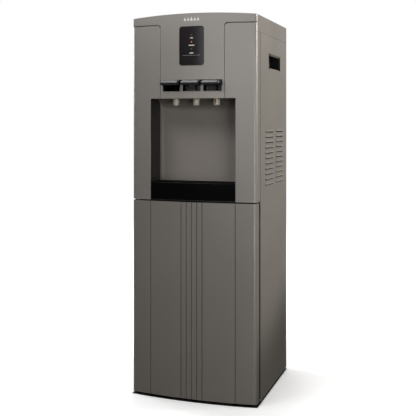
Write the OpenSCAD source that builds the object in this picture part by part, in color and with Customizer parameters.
// Floor-standing water dispenser with the bottle inside the cabinet.
// X runs across the front, Y runs from front to back, Z is up. The floor is z = 0.

/* [Cabinet] */
// Width across the side panels
body_w = 358; // [350:1:370]
// Depth from the front corners to the rear edge
body_d = 347; // [345:1:352]
// Height at the front corners
body_h = 1043; // [1040:0.5:1046]
// How far the middle of the front stands ahead of its corners
front_bow = 14; // [10:1:16]
// Rise of the top at its middle
top_crown = 7.5; // [4:0.5:10]
// Radius of the front corners of the door and the frame
corner_r = 10; // [6:1:12]
// Radius of the front corners of the top band
band_r = 5; // [4:0.5:6]
// Thickness of the plastic skins
skin_t = 3; // [2.5:0.1:3.2]
// Thickness of the steel sheets
sheet_t = 1; // [0.8:0.1:1.2]
// Height of the rubber feet
foot_h = 6.4; // [6.4:0.1:8]

/* [Door] */
// Height of the lower edge of the door
door_z0 = 7; // [7:0.1:9]
// Height of the upper edge of the door
door_z1 = 538.9; // [538:0.1:539]
// Depth of the door behind the front corners
door_d = 23; // [21:0.5:25]
// How far the hinge axis is from the side of the door
hinge_in = 13; // [12:0.5:14]
// Radius of the hinge pins
hinge_pin_r = 3; // [2.5:0.1:3.5]
// Width of the decorative grooves
groove_w = 2.4; // [1.5:0.1:3]

/* [Front] */
// Half width of the console strip
console_hw = 91.6; // [90:0.1:92]
// Height of the upper edge of the frame, under the top band
frame_z1 = 1020; // [1018:0.5:1021]
// Gap under the top band
band_gap = 2.6; // [1.5:0.1:3]
// Radius where the console strip meets the top band
tee_r = 9; // [6:0.5:10]
// Width of the display lens
lens_w = 71; // [60:0.5:72]
// Height of the display lens
lens_h = 106; // [100:0.5:107]
// Height of the lower edge of the display lens
lens_z = 909; // [905:0.5:910]
// Corner radius of the display lens
lens_r = 7.5; // [4:0.1:9]

/* [Niche] */
// Half width of the niche
niche_hw = 122; // [118:0.5:123]
// Depth of the niche behind the front corners
niche_d = 72; // [68:1:76]
// Height of the niche ceiling
niche_top = 820; // [816:0.5:822]
// Radius of the upright corners of the niche
niche_r = 13; // [8:1:16]
// Radius between the ceiling and the back wall
cove_r = 36; // [30:1:40]
// Height of the drip grille
tray_top = 591; // [585:0.5:594]

/* [Taps and keys] */
// Distance between taps
tap_pitch = 59; // [57:0.5:60]
// Depth of the tap axis behind the front corners
tap_y = 25; // [24:0.5:26]
// Outer radius of a nozzle
nozzle_r = 9.2; // [8.5:0.1:9.5]
// Height of the nozzle mouth
nozzle_z = 801; // [798:0.5:804]
// Width of a key
key_w = 53.5; // [52:0.5:54]
// How far a key stands ahead of the front
key_out = 16; // [14:0.5:17]
// How far the top of a key slopes down to its front edge
key_fall = 6; // [4:0.5:9]
// Press angle of a key in degrees
key_travel = 6; // [4:0.5:6]

/* [Side panels] */
// Louvres in one column
louvre_count = 11; // [9:1:11]
// Distance between louvres
louvre_pitch = 14.7; // [14:0.1:15]
// Height of the lowest louvre
louvre_z = 585; // [583:1:590]
// Length of the handle opening
grip_l = 138; // [130:1:140]
// Height of the handle opening
grip_h = 44; // [40:1:46]

/* [Hidden] */

$fn = 48;
hw = body_w / 2;
front_y = -(body_d - front_bow - key_out) / 2;
bow_r = (hw * hw + front_bow * front_bow) / (2 * front_bow);
bow_cy = bow_r - front_bow;
crown_r = (hw * hw + top_crown * top_crown) / (2 * top_crown);
crown_cz = body_h + top_crown - crown_r;

frame_z0 = door_z1 + 3.2;
frame_return = 33.5;
steel_y = 37;
skirt_z = body_h - 45.2;
console_z0 = niche_top;
band_z0 = frame_z1 + band_gap;
seat_in = 3.8;
seat_out = 6.3;
fascia_t = 3.5;
band_depth = 5.5;

liner_t = 2.5;
liner_z0 = frame_z0;
tray_gap = 0.5;
tray_wall = 2.5;
tray_z0 = liner_z0 + liner_t + 0.5;
grille_t = 2.5;
grille_gap = 0.4;

taps = [-tap_pitch, 0, tap_pitch];
window_hw = 25.5;
window_z0 = 839.3;
window_z1 = 867.5;
key_z1 = 869.5;
key_z0 = 856;
key_pin_y = 10;
key_pin_z = 860;
key_pin_r = 2;
lock_z = 863;
cheek_w = 5.5;
lock_w = 9.2;
pin_clear = 0.08;

hinge_x = -hw + hinge_in;
hinge_y = 12;
plate_t = 2;
door_wall = 2.8;
deck_top = door_z1 + 0.5;
bay_rear = 320;
cover_y = 334;
cover_z0 = deck_top + 6;
screw_x = 159;
screw_heights = [570, 700, 840, 975];

grip_y0 = 128;
grip_z0 = 904;
grip_depth = 30;
louvre_columns = [[90, 92], [211, 88]];
louvre_out = 2.4;
louvre_drop = 7;
louvre_gap = 2.6;

tank_y = 205;
cold_r = 80;
foam_r = 108;
cold_z0 = 772;
cold_z1 = 985;
shelf_z = 753;
hot_x = -90;
hot_r = 55;
hot_z0 = deck_top + 12;
hot_z1 = 712;
drain_z = hot_z0 + 14;
comp_x = 75;
comp_y = 230;
comp_r = 62;
comp_z0 = deck_top + 23;
gland_x = 120;
gland_z = 585;
rocker_x = [100, 134];
rocker_z = 930;
probe_x = -154;
probe_y = 285;
hot_line_y = 104;
pump_x = -112;
pump_y = 97;

// ---------- helpers ----------

function arc(cx, cy, r, a0, a1, n, first = 0, last = 0) =
    [for (i = [first : n - last]) let (a = a0 + (a1 - a0) * i / n) [cx + r * cos(a), cy + r * sin(a)]];

function bow_y(x, off = 0) = bow_cy - sqrt(pow(bow_r - off, 2) - x * x);

// Everything is drawn with the front corners at y = 0 and moved so that the whole is centred
module place() {
    translate([0, front_y, 0]) children();
}

module box(x0, x1, y0, y1, z0, z1) {
    translate([x0, y0, z0]) cube([x1 - x0, y1 - y0, z1 - z0]);
}

module slab(z0, z1) {
    translate([0, 0, z0]) linear_extrude(z1 - z0) children();
}

// Draws a shape in X and Z and gives it a thickness from y0 to y1
module panel_xz(y0, y1) {
    translate([0, y1, 0]) rotate([90, 0, 0]) linear_extrude(y1 - y0) children();
}

// Plan of the bowed front with rounded corners, kept off inside the skin, back to depth d
module plan(off = 0, r = corner_r, d = body_d) {
    w = hw - off;
    big = bow_r - off;
    cr = max(r - off, 0.4);
    cy = bow_cy - sqrt(pow(big - cr, 2) - pow(w - cr, 2));
    a = asin((w - cr) / (big - cr));
    polygon(concat(
        [[-w, d]],
        arc(-(w - cr), cy, cr, 180, 270 - a, 8),
        arc(0, bow_cy, big, 270 - a, 270 + a, 32, 1, 1),
        arc(w - cr, cy, cr, 270 + a, 360, 8),
        [[w, d]]
    ));
}

// Skin that follows the front between two depths under its surface
module skin(z0, z1, off0, off1, d, r = corner_r) {
    slab(z0, z1) difference() {
        plan(off0, r, d);
        plan(off1, r, d + 1);
    }
}

// Everything under the crowned top, lowered by drop
module under_crown(drop = 0) {
    a = asin(hw / crown_r);
    panel_xz(-60, body_d + 1) polygon(concat(
        [[-hw - 1, 0]],
        [[-hw - 1, body_h - drop]],
        arc(0, crown_cz - drop, crown_r, 90 + a, 90 - a, 24),
        [[hw + 1, body_h - drop]],
        [[hw + 1, 0]]
    ));
}

module rounded_rect(w, h, r) {
    translate([r, 0]) square([w - 2 * r, h]);
    translate([0, r]) square([w, h - 2 * r]);
    for (x = [r, w - r], y = [r, h - r]) translate([x, y]) circle(r = r);
}

// Turns and moves its children so that X and Y lie along two given directions
module frame_at(o, x, y) {
    z = cross(x, y);
    multmatrix([[x.x, y.x, z.x, o.x], [x.y, y.y, z.y, o.y], [x.z, y.z, z.z, o.z], [0, 0, 0, 1]]) children();
}

function unit(v) = v / norm(v);

// Distance from a corner of a pipe to where its bend starts
function bend_cut(a, b, bend) = bend * tan(acos(a * b) / 2);

// Round tube or rod along a list of points, bent at each corner
module pipe(points, r, bend = 9) {
    n = len(points) - 1;
    way = [for (i = [0 : n - 1]) unit(points[i + 1] - points[i])];
    cut = [for (i = [0 : n]) i == 0 || i == n ? 0 : bend_cut(way[i - 1], way[i], bend)];
    for (i = [0 : n - 1]) {
        d = way[i];
        translate(points[i] + d * cut[i]) rotate([0, acos(d.z), atan2(d.y, d.x)])
            cylinder(r = r, h = norm(points[i + 1] - points[i]) - cut[i] - cut[i + 1]);
        if (i > 0) {
            a = way[i - 1];
            normal = unit(cross(a, d));
            side = cross(normal, a);
            frame_at(points[i] - a * cut[i] + side * bend, -side, a)
                rotate_extrude(angle = acos(a * d)) translate([bend, 0]) circle(r = r);
        }
    }
}

// ---------- structure ----------

module base_pan() {
    color("dimgray") place() {
        box(-hw + 1.2, hw - 1.2, steel_y + 1.2, body_d - 2, foot_h, foot_h + 1.5);
        box(-156, 156, steel_y, steel_y + 1.2, foot_h, 34);
        box(-156, 156, body_d - 3.2, body_d - 2, foot_h, 34);
        for (s = [-1, 1])
            box(s * (hw - 1.8) - 0.6, s * (hw - 1.8) + 0.6, steel_y + 1.2, body_d - 2, foot_h, 34);
    }
}

module rubber_feet() {
    color("black") place()
        for (x = [-150, 150], y = [70, body_d - 35]) translate([x, y, 0]) {
            cylinder(r = 14, h = 2);
            translate([0, 0, 2]) cylinder(r = 16, h = foot_h - 2);
        }
}

// One louvre: a raised hood over the upper part of its slot, open along its lower edge
module louvre(y, l, z) {
    difference() {
        translate([hw - sheet_t, y + l, z]) rotate([90, 0, 0]) linear_extrude(l)
            polygon([[0, louvre_drop + 1], [sheet_t, louvre_drop], [sheet_t + louvre_out, 1.4],
                     [sheet_t + louvre_out, 0], [0, 0]]);
        translate([hw - sheet_t, y + l - 1.2, z]) rotate([90, 0, 0]) linear_extrude(l - 2.4)
            polygon([[-1, louvre_drop - 1], [0, louvre_drop - 1], [sheet_t + louvre_out - 1, 0.6],
                     [sheet_t + louvre_out - 1, -1], [-1, -1]]);
    }
}

// Right side panel; the left one is its mirror image
module side_panel() {
    lip = 4.5;
    difference() {
        union() {
            box(hw - sheet_t, hw, steel_y, body_d, 4.2, skirt_z - 0.6);
            box(158, hw - 0.5, steel_y, steel_y + sheet_t, foot_h + 0.2, skirt_z - 0.6);
            box(168, hw - 0.5, body_d - sheet_t, body_d, 4.2, skirt_z - 0.6);
            box(168, 168 + sheet_t, cover_y - 1, body_d - 0.5, cover_z0, skirt_z - 0.6);
            box(150, 168.5, cover_y - 1, cover_y, cover_z0, skirt_z - 0.6);
        }
        box(hw - 5, hw + 5, grip_y0, grip_y0 + grip_l, grip_z0, grip_z0 + grip_h);
        for (c = louvre_columns, i = [0 : louvre_count - 1])
            box(hw - 5, hw + 5, c[0] + 1.2, c[0] + c[1] - 1.2,
                louvre_z + i * louvre_pitch - 3 - louvre_gap, louvre_z + i * louvre_pitch + 3);
        for (z = screw_heights)
            translate([screw_x, cover_y + 1, z]) rotate([90, 0, 0]) cylinder(r = 2.1, h = 6);
        // notch for the hinge bracket on the deck
        box(150, hw - 1.4, steel_y - 1, steel_y + 2, deck_top - 0.4, deck_top + plate_t + 0.4);
    }
    for (c = louvre_columns, i = [0 : louvre_count - 1])
        louvre(c[0], c[1], louvre_z + i * louvre_pitch - 3);
    for (m = [0, 1])
        translate([0, grip_y0 + grip_l, grip_z0 + grip_h / 2]) mirror([0, 0, m]) rotate([90, 0, 0])
            linear_extrude(grip_l - 22)
                polygon([[hw, grip_h / 2], [hw - lip, grip_h / 2 - lip],
                         [hw - lip - 1, grip_h / 2 - lip + 0.6], [hw - 1.2, grip_h / 2 + 1],
                         [hw, grip_h / 2 + 1]]);
}

module side_panel_right() {
    color([0.55, 0.53, 0.5]) place() side_panel();
}

module side_panel_left() {
    color([0.55, 0.53, 0.5]) place() mirror([1, 0, 0]) side_panel();
}

// Right grip: a tub behind the opening of the side panel
module handle_cup() {
    x1 = hw - sheet_t - 0.2;
    rim = 6;
    w = 2.2;
    difference() {
        union() {
            box(x1 - grip_depth, x1 - 5, grip_y0 - w, grip_y0 + grip_l + w, grip_z0 - w, grip_z0 + grip_h + w);
            difference() {
                box(x1 - 7, x1, grip_y0 - rim, grip_y0 + grip_l + rim, grip_z0 - rim, grip_z0 + grip_h + rim);
                box(x1 - 5, x1 + 1, grip_y0 - 1.5, grip_y0 + grip_l + 1.5, grip_z0 - 1.5, grip_z0 + grip_h + 1.5);
            }
        }
        box(x1 - grip_depth + w, x1 + 1, grip_y0, grip_y0 + grip_l, grip_z0, grip_z0 + grip_h);
    }
}

module handle_cup_right() {
    color([0.08, 0.08, 0.08]) place() handle_cup();
}

module handle_cup_left() {
    color([0.08, 0.08, 0.08]) place() mirror([1, 0, 0]) handle_cup();
}

// Plan of the top cover: the band in front of it is left out
module cover_plan(off = 0) {
    lead = band_depth + 0.7;
    intersection() {
        plan(off, 1, body_d - off);
        translate([0, lead + off]) plan(0, 1);
    }
}

module top_cover() {
    color([0.5, 0.49, 0.48]) place() difference() {
        intersection() {
            slab(skirt_z, body_h + top_crown) cover_plan();
            under_crown();
        }
        intersection() {
            slab(skirt_z - 1, body_h + top_crown) cover_plan(skin_t);
            under_crown(skin_t);
        }
        box(-hw + 6, hw - 6, -30, 12, skirt_z - 1, band_z0 - 1);
    }
}

module front_frame() {
    pocket_hw = console_hw + 1;
    color([0.5, 0.48, 0.47]) place() difference() {
        union() {
            skin(frame_z0, frame_z1, 0, skin_t, frame_return);
            intersection() {
                skin(niche_top + 3, frame_z1, skin_t - 0.1, seat_out, 20);
                box(-112, 112, -30, 30, 0, body_h);
            }
            for (s = [-1, 1])
                box(s * (hw - 3.9) - 1, s * (hw - 3.9) + 1, 22, steel_y - 0.4, frame_z0, skirt_z - 0.6);
        }
        // pocket that takes the console strip
        intersection() {
            slab(niche_top - 1, frame_z1 + 1) difference() {
                plan(-5, corner_r, 60);
                plan(seat_in, corner_r, 61);
            }
            box(-pocket_hw, pocket_hw, -30, 60, 0, body_h);
        }
        for (s = [-1, 1]) panel_xz(-30, 30) difference() {
            translate([s * (pocket_hw + tee_r / 2 - 0.5), frame_z1 - tee_r / 2 + 0.5])
                square([tee_r + 1, tee_r + 1], center = true);
            translate([s * (pocket_hw + tee_r), frame_z1 - tee_r]) circle(r = tee_r);
        }
        box(-niche_hw, niche_hw, -30, 60, frame_z0 - 1, niche_top);
        for (s = [-1, 1])
            box(s * hw - 8, s * hw + 8, band_depth + 0.1, 60, skirt_z - 0.6, body_h);
        // windows in the seat of the console strip
        box(-30, 30, -30, 30, lens_z + 6, lens_z + lens_h - 6);
        box(-88, 88, -30, 30, window_z0 - 3, window_z1 + 7);
    }
}

// Window for a key, wider towards the inside
module window(x0, x1) {
    y0 = bow_y(x0) + 0.4;
    y1 = bow_y(x1) + 0.4;
    slab(window_z0, window_z1) polygon([[x0, -40], [x1, -40], [x1, y1], [x1 + 2, y1 + 4.5],
        [x1 + 2, 40], [x0 - 2, 40], [x0 - 2, y0 + 4.5], [x0, y0]]);
}

module control_fascia() {
    gap = 0.3;
    color([0.53, 0.51, 0.5]) place() difference() {
        intersection() {
            skin(console_z0, body_h + top_crown, 0, fascia_t, band_depth, band_r);
            panel_xz(-40, 40) difference() {
                union() {
                    translate([-console_hw, console_z0]) square([2 * console_hw, body_h - console_z0]);
                    translate([-hw, band_z0]) square([body_w, 40]);
                    translate([-console_hw - tee_r, band_z0 - tee_r])
                        square([2 * (console_hw + tee_r), tee_r + 1]);
                }
                for (s = [-1, 1]) translate([s * (console_hw + tee_r), band_z0 - tee_r]) circle(r = tee_r);
            }
            under_crown();
        }
        translate([0, 0, lens_z - gap]) panel_xz(-40, 40)
            translate([-lens_w / 2 - gap, 0]) rounded_rect(lens_w + 2 * gap, lens_h + 2 * gap, lens_r + gap);
        for (x = taps) window(x - window_hw, x + window_hw);
        // one slot behind the three keys
        box(-86.2, 86.2, -40, 40, key_z0 + 1.5, key_z1 + 1);
    }
}

module display_lens() {
    color([0.05, 0.05, 0.05]) place() intersection() {
        skin(lens_z, lens_z + lens_h, 0.2, fascia_t, 20);
        translate([0, 0, lens_z]) panel_xz(-40, 40) translate([-lens_w / 2, 0]) rounded_rect(lens_w, lens_h, lens_r);
    }
}

// Circuit board behind the lens with five indicator lamps and a plug header
module display_board() {
    color("darkgreen") place() {
        box(-29, 29, -6.4, -4.8, lens_z + 8, lens_z + lens_h - 8);
        for (z = [35, 46, 56, 65.5, 82])
            translate([0, -6.4, lens_z + z]) rotate([90, 0, 0]) cylinder(r = 2, h = 2.6);
        box(-10, 10, -4.8, 2, lens_z + 12, lens_z + 20);
    }
}

// Black moulding behind the console strip with a pocket and a pair of pin ears for each key
module key_housing() {
    top = window_z1 + 4;
    bottom = window_z0 - 1.2;
    half = tap_pitch + window_hw + 3.5;
    color([0.06, 0.06, 0.06]) place() difference() {
        union() {
            intersection() {
                skin(bottom, top, seat_out + 0.3, seat_out + 2.5, 30);
                box(-half, half, -30, 30, 0, body_h);
            }
            box(-half, half, key_pin_y - 12, key_pin_y + 4, bottom, bottom + 2.2);
            box(-half, half, key_pin_y - 12, key_pin_y + 4, top - 2.2, top);
            for (x = taps, s = [-1, 1])
                box(x + s * (window_hw + 1) - 1, x + s * (window_hw + 1) + 1, key_pin_y - 14, key_pin_y + 4,
                    bottom, top);
        }
        for (x = taps) box(x - window_hw, x + window_hw, -40, key_pin_y + 10, window_z0 + 1, window_z1 + 1.5);
        translate([-half - 1, key_pin_y, key_pin_z]) rotate([0, 90, 0])
            cylinder(r = key_pin_r + pin_clear, h = 2 * half + 2);
    }
}

// Plan of the niche, grown by wall
module niche_plan(wall, front) {
    r = niche_r + wall;
    polygon(concat(
        [[-niche_hw - wall, front]],
        [[niche_hw + wall, front]],
        arc(niche_hw - niche_r, niche_d - niche_r, r, 0, 90, 6),
        arc(-niche_hw + niche_r, niche_d - niche_r, r, 90, 180, 6)
    ));
}

// Solid that fills the niche, grown by wall, with a cove between ceiling and back
module niche_solid(wall, z0, front) {
    intersection() {
        slab(z0, niche_top + wall) niche_plan(wall, front);
        translate([-niche_hw - 20, 0, 0]) rotate([90, 0, 90]) linear_extrude(2 * niche_hw + 40)
            polygon(concat(
                [[front - 1, z0 - 1]],
                [[niche_d + wall, z0 - 1]],
                arc(niche_d - cove_r, niche_top - cove_r, cove_r + wall, 0, 90, 10),
                [[front - 1, niche_top + wall]]
            ));
    }
}

module niche_liner() {
    color([0.42, 0.4, 0.38]) place() difference() {
        union() {
            intersection() {
                niche_solid(liner_t, liner_z0, -12);
                slab(0, body_h) plan(skin_t + 1, corner_r, 200);
            }
            // flange behind the frame
            intersection() {
                skin(liner_z0, niche_top + liner_t, skin_t + 0.8, skin_t + 2.6, 20);
                box(-niche_hw - 12, niche_hw + 12, -30, 30, 0, body_h);
            }
        }
        niche_solid(0, liner_z0 + liner_t, -40);
        for (x = taps) translate([x, tap_y, niche_top - 5]) cylinder(r = nozzle_r + 1, h = 20);
    }
}

// ---------- shelves and backs ----------

module deck_shelf() {
    color("silver") place() difference() {
        union() {
            box(-176.6, 176.6, steel_y + 1.2, cover_y - 2, deck_top - 1.5, deck_top);
            box(-156, 156, steel_y, steel_y + 1.2, 515, deck_top);
            for (s = [-1, 1])
                box(s * 176 - 0.6, s * 176 + 0.6, steel_y + 1.2, bay_rear - 2, 515, deck_top);
        }
        translate([probe_x, probe_y, deck_top - 10]) cylinder(r = 8, h = 20);
        translate([comp_x, bay_rear + 8, deck_top - 10]) cylinder(r = 5, h = 20);
        translate([comp_x + 60, bay_rear + 8, deck_top - 10]) cylinder(r = 5, h = 20);
    }
}

module tank_shelf() {
    color("silver") place() difference() {
        union() {
            box(-176.6, 176.6, 96, cover_y - 3, shelf_z, shelf_z + 1.5);
            for (s = [-1, 1])
                box(s * 176 - 0.6, s * 176 + 0.6, 96, cover_y - 3, shelf_z, shelf_z + 20);
        }
        for (p = [[-30, tank_y], [taps[2], hot_line_y], [105, 270]])
            translate([p.x, p.y, shelf_z - 5]) cylinder(r = 6, h = 20);
    }
}

module bay_floor() {
    color([0.25, 0.25, 0.25]) place() difference() {
        box(-174, 174, steel_y + 2, bay_rear - 2, foot_h + 1.6, foot_h + 9);
        box(-168, 168, steel_y + 8, bay_rear - 8, foot_h + 5, foot_h + 20);
    }
}

module bay_back_panel() {
    color("silver") place() {
        box(-174, 174, bay_rear, bay_rear + 1, 36, deck_top - 2);
        for (s = [-1, 1])
            box(s * 173.4 - 0.6, s * 173.4 + 0.6, bay_rear - 16, bay_rear + 0.5, 36, 512);
    }
}

module rear_cover() {
    color([0.5, 0.5, 0.5]) place() difference() {
        box(-166, 166, cover_y, cover_y + 1, cover_z0, skirt_z - 1);
        for (x = [-screw_x, screw_x], z = screw_heights)
            translate([x, cover_y + 3, z]) rotate([90, 0, 0]) cylinder(r = 2.1, h = 6);
        for (x = [-40, 20, 80], i = [0 : 7])
            box(x - 24, x + 24, cover_y - 2, cover_y + 3, 640 + i * 11, 644 + i * 11);
        for (x = rocker_x) box(x - 10.2, x + 10.2, cover_y - 2, cover_y + 3, rocker_z - 13.2, rocker_z + 13.2);
        translate([gland_x, cover_y + 3, gland_z]) rotate([90, 0, 0]) cylinder(r = 8, h = 6);
        translate([hot_x, cover_y + 3, drain_z]) rotate([90, 0, 0]) cylinder(r = 7.5, h = 6);
    }
}

module rear_screws() {
    color("gainsboro") place()
        for (x = [-screw_x, screw_x], z = screw_heights) translate([x, cover_y + 1, z]) rotate([-90, 0, 0]) {
            cylinder(r = 4, h = 2);
            translate([0, 0, -7]) cylinder(r = 1.8, h = 7.5);
        }
}

module hinge_bracket(z0, pin_z0, pin_z1, back) {
    translate([hinge_x, hinge_y, 0]) {
        translate([0, 0, z0]) cylinder(r = 8, h = plate_t);
        box(-8, 8, 0, back - hinge_y, z0, z0 + plate_t);
        translate([0, 0, pin_z0]) cylinder(r = hinge_pin_r, h = pin_z1 - pin_z0);
    }
}

module hinge_bracket_bottom() {
    color("silver") place() hinge_bracket(foot_h - plate_t, foot_h - plate_t, door_z0 + 14, 54);
}

module hinge_bracket_top() {
    color("silver") place() hinge_bracket(deck_top, door_z1 - 14, deck_top + plate_t, 60);
}

// ---------- taps and keys ----------

module tap_body(x) {
    z0 = niche_top + liner_t;
    difference() {
        union() {
            translate([x, tap_y, z0]) cylinder(r = 14, h = 3);
            translate([x, tap_y, z0]) cylinder(r = 10.5, h = 19);
            translate([x, tap_y, z0 + 9]) rotate([-90, 0, 0]) cylinder(r = 5, h = 22);
        }
        translate([x, tap_y, z0 - 1]) cylinder(r = 6, h = 16);
        translate([x, tap_y, z0]) cylinder(r = 2 + pin_clear, h = 30);
        translate([x, tap_y, z0 + 9]) rotate([-90, 0, 0]) cylinder(r = 3, h = 30);
    }
}

module tap_body_cold() {
    color([0.1, 0.1, 0.1]) place() tap_body(taps[0]);
}

module tap_body_ambient() {
    color([0.1, 0.1, 0.1]) place() tap_body(taps[1]);
}

module tap_body_hot() {
    color([0.1, 0.1, 0.1]) place() tap_body(taps[2]);
}

// Spout that hangs from the tap through the ceiling of the niche
module nozzle(x) {
    z1 = niche_top + liner_t;
    color("ivory") place() translate([x, tap_y, 0]) difference() {
        rotate_extrude() difference() {
            union() {
                translate([0, nozzle_z + 4]) square([nozzle_r, z1 - nozzle_z - 4]);
                translate([0, nozzle_z]) square([nozzle_r - 4, 6]);
                translate([nozzle_r - 4, nozzle_z + 4]) circle(r = 4);
            }
            translate([-10, nozzle_z - 1]) square([10, 40]);
        }
        translate([0, 0, nozzle_z - 1]) cylinder(r = 4.2, h = 40);
    }
}

module nozzle_cold() {
    nozzle(taps[0]);
}

module nozzle_ambient() {
    nozzle(taps[1]);
}

module nozzle_hot() {
    nozzle(taps[2]);
}

// Valve stem with a collar under its head, where the key's fork lifts it
module valve_stem(x) {
    arm_top = key_pin_z + 2;
    color("silver") place() translate([x, tap_y, 0]) {
        translate([0, 0, niche_top + 12]) cylinder(r = 2, h = arm_top - niche_top - 10);
        translate([0, 0, arm_top + 0.4]) cylinder(r = 4.5, h = 3);
        translate([0, 0, niche_top + liner_t + 1]) cylinder(r = 4.5, h = 11.5);
    }
}

module valve_stem_cold() {
    valve_stem(taps[0]);
}

module valve_stem_ambient() {
    valve_stem(taps[1]);
}

module valve_stem_hot() {
    valve_stem(taps[2]);
}

// Side view of a key's paddle, from the front panel to its tip
module paddle_profile(top_drop, z0) {
    tip = -front_bow - key_out - 1;
    polygon([[10, key_z1 - top_drop], [-front_bow, key_z1 - top_drop], [tip, key_z1 - key_fall - top_drop],
             [tip, z0], [10, z0]]);
}

// Paddle between two faces that follow the front
module paddle(x0, x1, off0, off1, top_drop, z0) {
    intersection() {
        slab(key_z0 - 5, key_z1 + 5) difference() {
            plan(off0, corner_r, 60);
            plan(off1, corner_r, 61);
        }
        translate([x0, 0, 0]) rotate([90, 0, 90]) linear_extrude(x1 - x0) paddle_profile(top_drop, z0);
    }
}

function key_x0(x) = x - key_w / 2;
function key_x1(x) = x + key_w / 2;

// Lever with a black cheek of width end_w at its right end
module key_lever(x, end_w) {
    neck = 24;
    cap_t = 2;
    x1 = key_x1(x);
    union() {
        intersection() {
            slab(key_z0, key_z1) difference() {
                plan(-key_out, corner_r, 60);
                plan(-0.9, corner_r, 61);
            }
            box(x1 - end_w, x1, -60, 20, 0, body_h);
            translate([x1 - end_w - 1, 0, 0]) rotate([90, 0, 90]) linear_extrude(end_w + 2)
                paddle_profile(end_w < lock_w ? 0.6 : -key_fall, key_z0 - 1);
        }
        paddle(key_x0(x), key_x1(x), -key_out + 0.6, -0.9, cap_t, key_z0);
        // neck through the window to the pins
        intersection() {
            box(x - neck, x + neck, -30, key_pin_y + 3, key_pin_z - 3, key_pin_z + 3);
            slab(0, body_h) plan(-4, corner_r, 60);
        }
        translate([x - window_hw - 1.8, key_pin_y, key_pin_z]) rotate([0, 90, 0])
            cylinder(r = key_pin_r, h = 2 * window_hw + 3.6);
        // fork that lifts the valve stem
        difference() {
            box(x - 7, x + 7, key_pin_y, tap_y + 5, key_pin_z - 2, key_pin_z + 2);
            box(x - 2.6, x + 2.6, tap_y - 2.6, tap_y + 10, key_pin_z - 10, key_pin_z + 10);
        }
    }
}

module key_lever_cold() {
    color([0.05, 0.05, 0.05]) place() key_lever(taps[0], cheek_w);
}

module key_lever_ambient() {
    color([0.05, 0.05, 0.05]) place() key_lever(taps[1], cheek_w);
}

module key_lever_hot() {
    x1 = key_x1(taps[2]);
    color([0.05, 0.05, 0.05]) place() difference() {
        key_lever(taps[2], lock_w);
        translate([x1 - 4.7, -front_bow - 40, lock_z]) rotate([-90, 0, 0]) cylinder(r = 3.7, h = 37);
    }
}

// Silver cap that covers the sloping top of a lever
module key_cap(x0, x1) {
    color("silver") place() difference() {
        paddle(x0, x1, -key_out, -0.9, 0, key_z1 - key_fall - 1.6);
        paddle(x0 - 1, x1 + 1, -key_out + 0.6, 2, 2, key_z0 - 1);
    }
}

module key_cap_cold() {
    key_cap(key_x0(taps[0]), key_x1(taps[0]) - cheek_w - 0.3);
}

module key_cap_ambient() {
    key_cap(key_x0(taps[1]), key_x1(taps[1]) - cheek_w - 0.3);
}

module key_cap_hot() {
    key_cap(key_x0(taps[2]), key_x1(taps[2]) - lock_w - 0.3);
}

// Push button in the end of the hot key
module child_lock() {
    x = key_x1(taps[2]) - 4.7;
    tip = bow_y(x) - key_out - 1;
    color("gray") place() translate([x, tip, lock_z]) rotate([-90, 0, 0]) cylinder(r = 3.4, h = 7.5);
}

// ---------- drip tray ----------

module tray_plan(inset) {
    intersection() {
        niche_plan(-tray_gap - inset, -40);
        plan(inset, corner_r, 200);
    }
}

module drip_tray() {
    color([0.04, 0.04, 0.04]) place() difference() {
        slab(tray_z0, tray_top) tray_plan(0);
        slab(tray_z0 + tray_wall, tray_top + 1) tray_plan(tray_wall + 1.5);
        slab(tray_top - grille_t - grille_gap, tray_top + 1) tray_plan(tray_wall);
    }
}

module drip_grille() {
    z0 = tray_top - grille_t;
    color([0.08, 0.08, 0.08]) place() difference() {
        slab(z0, tray_top) tray_plan(tray_wall + 0.4);
        for (i = [-15 : 15], y = [2, 34])
            box(i * 7 - 1.7, i * 7 + 1.7, y, y + 26, z0 - 1, tray_top + 1);
    }
}

// ---------- door ----------

module groove(x) {
    side = groove_w / sqrt(2);
    translate([x, bow_y(x), door_z0 - 1]) rotate([0, 0, 45])
        translate([-side / 2, -side / 2, 0]) cube([side, side, door_z1]);
}

module door_skin() {
    boss_r = 7;
    color([0.42, 0.4, 0.38]) place() difference() {
        union() {
            difference() {
                slab(door_z0, door_z1) plan(0, corner_r, door_d);
                slab(door_z0 + door_wall, door_z1 - door_wall) plan(door_wall, corner_r, door_d + 1);
            }
            for (z = [door_z0 + 1, door_z1 - 17]) translate([hinge_x, hinge_y, z]) cylinder(r = boss_r, h = 16);
        }
        for (z = [door_z0 - 1, door_z1 - 16]) translate([hinge_x, hinge_y, z])
            cylinder(r = hinge_pin_r + pin_clear, h = 17);
        for (x = [-121.5, -30, -15, 0, 15, 30, 121.5]) groove(x);
    }
}

module door_inner_panel() {
    inset = door_wall + 0.3;
    y1 = door_d - 0.2;
    color([0.3, 0.3, 0.3]) place() difference() {
        box(-hw + inset, hw - inset, y1 - 2.5, y1, door_z0 + inset, door_z1 - inset);
        // pressed fields with ribs between them
        for (i = [0 : 3])
            box(-140, 140, y1 - 1, y1 + 1, door_z0 + 36 + i * 118, door_z0 + 142 + i * 118);
    }
}

module door_gasket() {
    w = 12;
    x1 = 168;
    z0 = door_z0 + 7;
    z1 = door_z1 - 8;
    color([0.1, 0.1, 0.1]) place() difference() {
        box(-x1, x1, door_d - 0.2, steel_y - 0.5, z0, z1);
        box(-x1 + w, x1 - w, door_d - 1, steel_y, z0 + w, z1 - w);
    }
}

// ---------- water side ----------

module cold_tank() {
    color("silver") place() translate([0, tank_y, 0]) difference() {
        translate([0, 0, cold_z0]) cylinder(r = cold_r, h = cold_z1 - cold_z0);
        translate([0, 0, cold_z0 + 1.5]) cylinder(r = cold_r - 1.5, h = cold_z1 - cold_z0 - 3);
    }
}

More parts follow.
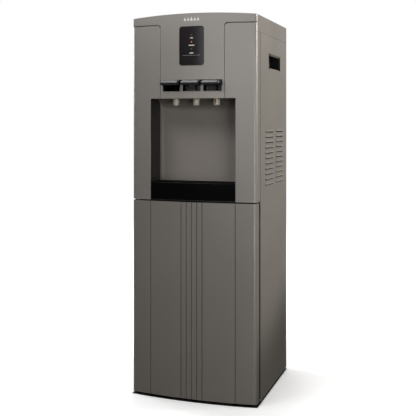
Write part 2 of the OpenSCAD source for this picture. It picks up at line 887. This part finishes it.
module cold_tank_foam() {
    z0 = shelf_z + 1.5;
    color("white") place() translate([0, tank_y, 0]) difference() {
        translate([0, 0, z0]) cylinder(r = foam_r, h = cold_z1 + 18 - z0);
        translate([0, 0, cold_z0]) cylinder(r = cold_r + 10.5, h = cold_z1 - cold_z0 + 0.5);
        translate([-30, 0, z0 - 1]) cylinder(r = 6, h = 30);
    }
}

module evaporator_coil() {
    color("peru") place() translate([0, tank_y, 0])
        for (i = [0 : 9]) translate([0, 0, cold_z0 + 20 + i * 19])
            rotate_extrude() translate([cold_r + 5, 0]) circle(r = 4);
}

module hot_tank() {
    color("silver") place() difference() {
        union() {
            translate([hot_x, tank_y, hot_z0]) cylinder(r = hot_r, h = hot_z1 - hot_z0);
            translate([hot_x, tank_y + hot_r - 4, drain_z]) rotate([-90, 0, 0])
                cylinder(r = 6, h = cover_y + 10 - tank_y - hot_r + 4);
        }
        translate([hot_x, tank_y, hot_z0 + 1.5]) cylinder(r = hot_r - 1.5, h = hot_z1 - hot_z0 - 3);
        translate([hot_x, tank_y, drain_z]) rotate([-90, 0, 0]) cylinder(r = 4, h = 200);
    }
}

module hot_tank_jacket() {
    color("white") place() difference() {
        translate([hot_x, tank_y, deck_top]) cylinder(r = hot_r + 17, h = hot_z1 - deck_top);
        translate([hot_x, tank_y, hot_z0]) cylinder(r = hot_r + 1, h = 300);
        translate([hot_x, tank_y, drain_z]) rotate([-90, 0, 0]) cylinder(r = 7, h = 100);
    }
}

module thermostats() {
    color("black") place() for (x = [-18, 18]) translate([hot_x + x, tank_y, hot_z1]) {
        cylinder(r = 8, h = 8);
        box(-3, -1, -4, 4, 8, 14);
        box(1, 3, -4, 4, 8, 14);
    }
}

module water_pump() {
    z0 = deck_top;
    color([0.2, 0.2, 0.22]) place() {
        box(pump_x - 26, pump_x + 26, pump_y - 16, pump_y + 16, z0, z0 + 4);
        translate([pump_x - 40, pump_y, z0 + 22]) rotate([0, 90, 0]) cylinder(r = 17.9, h = 52);
        box(pump_x + 12, pump_x + 40, pump_y - 18, pump_y + 18, z0 + 4, z0 + 40);
    }
}

// Hoses and tubes of the water circuit
module water_lines() {
    r = 4;
    port_z = niche_top + liner_t + 9;
    port_y = tap_y + 22.4;
    shelf_under = shelf_z - 8;
    color([0.85, 0.87, 0.9]) place() {
        // cold tank to cold tap
        pipe([[taps[0], port_y, port_z], [taps[0], 84, port_z], [taps[0], 84, shelf_under],
              [-30, 84, shelf_under], [-30, tank_y, shelf_under], [-30, tank_y, cold_z0 - 0.4]], r);
        // hot tank to hot tap
        pipe([[taps[2], port_y, port_z], [taps[2], hot_line_y, port_z],
              [taps[2], hot_line_y, shelf_under - 12], [hot_x + 30, hot_line_y, shelf_under - 12],
              [hot_x + 30, tank_y - 30, shelf_under - 12], [hot_x + 30, tank_y - 30, hot_z1 + 0.4]], r - 1);
        // pump to ambient tap
        pipe([[0, port_y, port_z], [0, 84, port_z], [0, 84, deck_top + 60],
              [pump_x + 26, 84, deck_top + 60], [pump_x + 26, 84, deck_top + 40.4]], r);
        // bottle probe to pump
        pipe([[pump_x - 40.4, pump_y, deck_top + 22], [-168, pump_y, deck_top + 22],
              [-168, probe_y, deck_top + 22], [probe_x, probe_y, deck_top + 22],
              [probe_x, probe_y, 508.4]], r, 6.5);
    }
}

// Dip tube with its bottle cap, parked under the deck
module bottle_probe() {
    color([0.8, 0.82, 0.85]) place() translate([probe_x, probe_y, 0]) {
        translate([0, 0, 60]) cylinder(r = 7, h = 440);
        translate([0, 0, 480]) cylinder(r = 16, h = 22);
        translate([0, 0, 500]) cylinder(r = 8, h = 8);
        translate([0, 0, 52]) cylinder(r = 10, h = 14);
    }
}

// ---------- cooling side ----------

module compressor() {
    dome = 95;
    z1 = comp_z0 + 88;
    rise = dome - sqrt(dome * dome - comp_r * comp_r);
    color([0.12, 0.12, 0.12]) place() {
        difference() {
            box(comp_x - 75, comp_x + 75, comp_y - 58, comp_y + 58, comp_z0 - 3, comp_z0);
            for (x = [-60, 60], y = [-46, 46])
                translate([comp_x + x, comp_y + y, comp_z0 - 10]) cylinder(r = 5, h = 20);
        }
        translate([comp_x, comp_y, comp_z0 - 1]) cylinder(r = comp_r - 10, h = 10);
        translate([comp_x, comp_y, comp_z0 + 6]) cylinder(r = comp_r, h = z1 - comp_z0 - 6);
        intersection() {
            translate([comp_x, comp_y, z1 + rise - dome]) sphere(r = dome);
            translate([comp_x, comp_y, z1 - 1]) cylinder(r = comp_r, h = 40);
        }
        box(comp_x - 20, comp_x + 20, comp_y - comp_r - 14, comp_y - comp_r + 8, comp_z0 + 20, comp_z0 + 66);
    }
}

module compressor_mounts() {
    color([0.05, 0.05, 0.05]) place()
        for (x = [-60, 60], y = [-46, 46]) translate([comp_x + x, comp_y + y, deck_top]) {
            cylinder(r = 10, h = comp_z0 - 3 - deck_top);
            cylinder(r = 4.6, h = comp_z0 + 2 - deck_top);
            translate([0, 0, comp_z0 - deck_top]) cylinder(r = 8, h = 4);
        }
}

// Copper tubes and the filter drier
module refrigerant_lines() {
    r = 3;
    sx = 105;
    sy = 270;
    side_x = sqrt(pow(foam_r, 2) - pow(sy - tank_y - r, 2)) + 0.4;
    drier_z = 620;
    color("peru") place() {
        // suction line
        pipe([[sx, sy, comp_z0 + 99], [sx, sy, 800], [side_x, sy, 800]], r);
        // discharge line to the condenser
        pipe([[comp_x, bay_rear + 8, 516.4], [comp_x, bay_rear + 8, 600],
              [comp_x, comp_y + comp_r + 0.4, 600]], r - 0.4, 11);
        // liquid line through the drier to the evaporator
        pipe([[comp_x + 60, bay_rear + 8, 520], [comp_x + 60, bay_rear + 8, drier_z]], r - 1);
        translate([comp_x + 60, bay_rear + 2, drier_z]) cylinder(r = 9, h = 70);
        pipe([[comp_x + 60, bay_rear + 2, drier_z + 70], [comp_x + 60, bay_rear + 2, shelf_z - 6]], r - 1.5);
    }
}

// Wire and tube condenser behind the bottle bay
module condenser() {
    runs = 12;
    z0 = 78;
    pitch = 38;
    tube_r = 2.4;
    wire_r = 0.8;
    y = bay_rear + 14;
    x1 = 128;
    color([0.06, 0.06, 0.06]) place() {
        for (i = [0 : runs - 1]) translate([-x1, y, z0 + i * pitch]) rotate([0, 90, 0])
            cylinder(r = tube_r, h = 2 * x1);
        for (i = [0 : runs - 2]) translate([i % 2 == 0 ? x1 : -x1, y, z0 + (i + 0.5) * pitch])
            rotate([90, 0, 0]) rotate([0, 0, i % 2 == 0 ? -90 : 90])
                rotate_extrude(angle = 180) translate([pitch / 2, 0]) circle(r = tube_r);
        for (i = [-13 : 13], s = [-1, 1])
            translate([i * 9, y + s * (tube_r + wire_r + 0.05), z0 - 12])
                cylinder(r = wire_r, h = (runs - 1) * pitch + 24);
        for (x = [-122, 122], z = [z0 + 6, z0 + (runs - 1) * pitch - 12])
            box(x - 3, x + 3, bay_rear + 1, y - tube_r - 2 * wire_r - 0.4, z, z + 8);
    }
}

// ---------- electrical side ----------

module power_box() {
    color([0.15, 0.15, 0.15]) place() difference() {
        box(40, 150, 84, 122, deck_top, deck_top + 120);
        box(42, 148, 86, 123, deck_top + 2, deck_top + 118);
    }
}

// Two switch bodies in the rear cover and the gland of the supply lead
module rocker_housings() {
    color([0.08, 0.08, 0.08]) place() {
        for (x = rocker_x) difference() {
            union() {
                box(x - 10, x + 10, cover_y - 20, cover_y + 1, rocker_z - 13, rocker_z + 13);
                box(x - 12, x + 12, cover_y + 1.1, cover_y + 3, rocker_z - 15, rocker_z + 15);
                box(x - 10, x + 10, cover_y + 0.9, cover_y + 1.2, rocker_z - 13, rocker_z + 13);
            }
            box(x - 8, x + 8, cover_y - 10, cover_y + 4, rocker_z - 11, rocker_z + 11);
            translate([x - 11, cover_y - 4, rocker_z]) rotate([0, 90, 0]) cylinder(r = 1.5 + pin_clear, h = 22);
        }
        difference() {
            translate([gland_x, cover_y - 8, gland_z]) rotate([-90, 0, 0]) {
                cylinder(r = 7.6, h = 10);
                translate([0, 0, 9.1]) cylinder(r = 11, h = 9);
            }
            translate([gland_x, cover_y - 10, gland_z]) rotate([-90, 0, 0]) cylinder(r = 3.8, h = 30);
        }
    }
}

module rocker(x) {
    tilt = 8;
    color("maroon") place() {
        intersection() {
            translate([x - 7.7, cover_y - 4, rocker_z]) rotate([0, 90, 0]) cylinder(r = 10.4, h = 15.4);
            translate([0, cover_y - 4, rocker_z]) rotate([tilt, 0, 0])
                box(x - 7.7, x + 7.7, -2, 7.4, -11, 11);
        }
        translate([x - 9.5, cover_y - 4, rocker_z]) rotate([0, 90, 0]) cylinder(r = 1.5, h = 19);
    }
}

module rocker_heat() {
    rocker(rocker_x[0]);
}

module rocker_cool() {
    rocker(rocker_x[1]);
}

module drain_cap() {
    color("black") place() translate([hot_x, cover_y + 1.6, drain_z]) rotate([-90, 0, 0]) difference() {
        union() {
            cylinder(r = 9.5, h = 11);
            for (a = [0 : 30 : 330]) rotate([0, 0, a]) box(9, 10.4, -0.8, 0.8, 0, 11);
        }
        translate([0, 0, -1]) cylinder(r = 6.1, h = 10);
    }
}

base_pan();
rubber_feet();
side_panel_left();
side_panel_right();
handle_cup_left();
handle_cup_right();
top_cover();
front_frame();
control_fascia();
display_lens();
display_board();
key_housing();
niche_liner();
deck_shelf();
tank_shelf();
bay_floor();
bay_back_panel();
rear_cover();
rear_screws();
hinge_bracket_top();
hinge_bracket_bottom();
tap_body_cold();
tap_body_ambient();
tap_body_hot();
nozzle_cold();
nozzle_ambient();
nozzle_hot();
valve_stem_cold();
valve_stem_ambient();
valve_stem_hot();
key_lever_cold();
key_lever_ambient();
key_lever_hot();
key_cap_cold();
key_cap_ambient();
key_cap_hot();
child_lock();
drip_tray();
drip_grille();
door_skin();
door_inner_panel();
door_gasket();
cold_tank();
cold_tank_foam();
evaporator_coil();
hot_tank();
hot_tank_jacket();
thermostats();
compressor();
compressor_mounts();
refrigerant_lines();
condenser();
water_pump();
water_lines();
bottle_probe();
power_box();
rocker_housings();
rocker_heat();
rocker_cool();
drain_cap();
